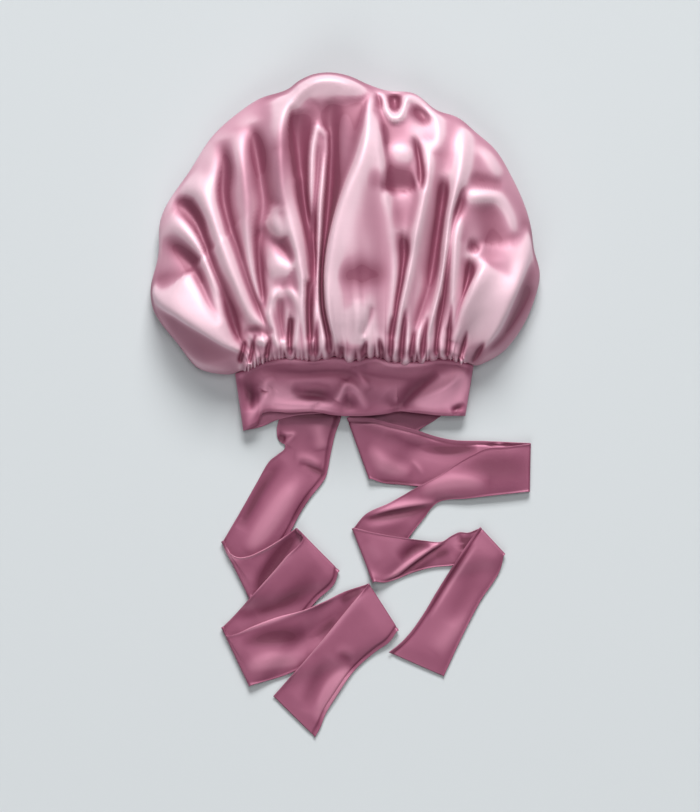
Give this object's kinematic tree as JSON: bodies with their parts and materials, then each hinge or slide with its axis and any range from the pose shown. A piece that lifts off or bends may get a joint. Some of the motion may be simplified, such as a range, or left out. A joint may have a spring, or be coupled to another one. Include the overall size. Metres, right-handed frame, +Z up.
{
  "type": "sleep bonnet",
  "caption": "Gathered satin sleep bonnet lying flat, with a puffed crown, a plain band round the open head hole and long folded ties.",
  "frame": {"origin": "middle of the crown's back, on the surface that the bonnet lies on", "axes": "+Z up from that surface, +Y from the head opening towards the top of the crown, +X to the right in the picture"},
  "size_m": [0.3741, 0.6425, 0.0736],
  "materials": {
    "crown_satin": "satin",
    "band_cloth": "satin",
    "tie_cloth": "satin"
  },
  "bodies": {
    "root": {"crown": "crown_satin", "band": "band_cloth", "tie_left": "tie_cloth", "tie_right": "tie_cloth"}
  },
  "joints": []
}
